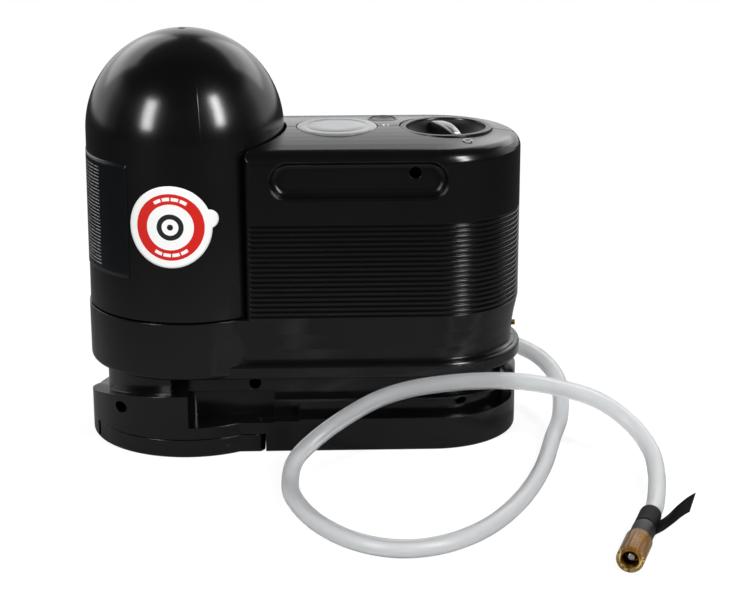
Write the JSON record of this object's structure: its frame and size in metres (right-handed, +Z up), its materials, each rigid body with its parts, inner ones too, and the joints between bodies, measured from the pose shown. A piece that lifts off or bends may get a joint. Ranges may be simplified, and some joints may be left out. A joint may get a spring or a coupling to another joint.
{
  "type": "portable tire inflator",
  "caption": "Upright tire inflator with a domed lift-off sealant canister, dial gauge, mode knob and a clear hose with a valve nut.",
  "frame": {"origin": "middle of the housing's footprint, on the surface it stands on", "axes": "+Z up, +X from the canister towards the knob, -Y is the front with the connector's pocket"},
  "size_m": [0.297, 0.2488, 0.2092],
  "materials": {
    "shell": "fine-grained black plastic",
    "screw_steel": "zinc-plated steel",
    "inner_plastic": "plain dark plastic",
    "dial_white": "printed white sheet",
    "works_brass": "turned brass",
    "needle_red": "red paint",
    "gauge_lens": "pale clear plastic",
    "knob": "satin black plastic",
    "mark_white": "white print",
    "spindle_steel": "turned steel",
    "valve_plastic": "moulded grey plastic",
    "button": "satin black plastic",
    "button_ring": "satin dark plastic",
    "spring_steel": "drawn spring wire",
    "relief_brass": "turned brass",
    "grommet": "black rubber",
    "cast_frame": "die-cast, as cast",
    "motor_steel": "plated sheet steel",
    "magnet": "sintered ferrite",
    "rotor": "laminated steel with lacquered copper",
    "shaft_steel": "ground steel",
    "fan_plastic": "moulded plastic",
    "gear_plastic": "natural nylon",
    "rod_alloy": "cast aluminium",
    "piston_alloy": "turned aluminium",
    "seal_rubber": "black rubber",
    "cylinder_alloy": "die-cast aluminium",
    "tube_black": "black rubber hose",
    "tube_copper": "bright capillary tube",
    "tube_clear": "clear PVC",
    "manifold_plastic": "moulded plastic",
    "canister_cover": "glossy black plastic",
    "canister_base": "moulded plastic",
    "bottle_white": "milky plastic",
    "sticker": "printed white film with a red ring",
    "label_black": "glossy black film",
    "gland": "black plastic",
    "hose_clear": "clear PVC, slightly milky",
    "strap": "woven black strap",
    "ferrule": "satin dark plastic",
    "nut_brass": "turned brass",
    "nut_cap": "milky clear plastic",
    "pin_steel": "bright steel"
  },
  "bodies": {
    "housing": {"front_shell": "shell", "rear_shell": "shell", "bottom_plate": "shell", "case_screws": "screw_steel", "gauge_case": "inner_plastic", "gauge_dial": "dial_white", "gauge_works": "works_brass", "gauge_lens": "gauge_lens", "valve_block": "valve_plastic", "button_ring": "button_ring", "switch_body": "inner_plastic", "button_spring": "spring_steel", "relief_body": "relief_brass", "power_inlet": "grommet", "gear_frame": "cast_frame", "motor_can": "motor_steel", "motor_magnets": "magnet", "motor_endcap": "inner_plastic", "gear_axle": "shaft_steel", "cylinder_barrel": "cylinder_alloy", "cylinder_head": "cylinder_alloy", "head_screws": "screw_steel", "supply_tube": "tube_black", "canister_tube": "tube_black", "gauge_tube": "tube_copper", "sealant_tube": "tube_clear", "canister_manifold": "manifold_plastic", "port_seals": "seal_rubber", "hose_gland": "gland", "sealant_hose": "hose_clear", "hose_strap": "strap", "hose_ferrule": "ferrule", "valve_pin": "pin_steel"},
    "canister": {"canister_cover": "canister_cover", "canister_base": "canister_base", "sealant_bottle": "bottle_white", "round_sticker": "sticker", "side_label": "label_black"},
    "knob": {"mode_knob": "knob", "knob_dot": "mark_white", "knob_spindle": "spindle_steel"},
    "power_button": {"power_button": "button"},
    "relief_pin": {"relief_pin": "relief_brass"},
    "needle": {"gauge_needle": "needle_red"},
    "rotor": {"motor_rotor": "rotor", "motor_shaft": "shaft_steel", "cooling_fan": "fan_plastic"},
    "gear": {"crank_gear": "gear_plastic"},
    "piston": {"piston": "piston_alloy", "piston_seal": "seal_rubber", "wrist_pin": "shaft_steel"},
    "rod": {"con_rod": "rod_alloy"},
    "nut": {"valve_nut": "nut_brass", "nut_cap": "nut_cap"}
  },
  "joints": [
    {"name": "canister_lift", "type": "slide", "parent": "housing", "child": "canister", "axis": [0, 0, 1], "range_m": [0, 0.1]},
    {"name": "mode_turn", "type": "hinge", "parent": "housing", "child": "knob", "pos_m": [0.0724, 0, 0.155], "axis": [0, 0, 1], "range_deg": [0, 158]},
    {"name": "power_press", "type": "slide", "parent": "housing", "child": "power_button", "axis": [0, 0, -1], "range_m": [0, 0.002], "stiffness_N_per_m": 300, "deforming": ["button_spring"]},
    {"name": "relief_press", "type": "slide", "parent": "housing", "child": "relief_pin", "axis": [-1, 0, 0], "range_m": [0, 0.0015], "stiffness_N_per_m": 400},
    {"name": "needle_turn", "type": "hinge", "parent": "housing", "child": "needle", "pos_m": [0.0171, 0, 0.1534], "axis": [0, 0, -1], "range_deg": [0, 270], "stiffness_Nm_per_rad": 0.0004},
    {"name": "motor_spin", "type": "hinge", "parent": "housing", "child": "rotor", "pos_m": [0.06, 0, 0.085], "axis": [1, 0, 0], "continuous": true},
    {"name": "gear_spin", "type": "hinge", "parent": "housing", "child": "gear", "pos_m": [0.028, 0, 0.11215], "axis": [1, 0, 0], "continuous": true},
    {"name": "piston_slide", "type": "slide", "parent": "housing", "child": "piston", "axis": [0, 0, 1], "range_m": [-0.012, 0]},
    {"name": "rod_swing", "type": "hinge", "parent": "piston", "child": "rod", "pos_m": [0.012, 0, 0.08815], "axis": [1, 0, 0], "range_deg": [-11, 11]},
    {"name": "nut_turn", "type": "hinge", "parent": "housing", "child": "nut", "pos_m": [0.14594, -0.18244, 0.0065], "axis": [-0.3355, -0.9421, 0], "continuous": true}
  ],
  "couplings": [
    {"joint": "gear_spin", "follows": "motor_spin", "ratio": -0.22727}
  ]
}
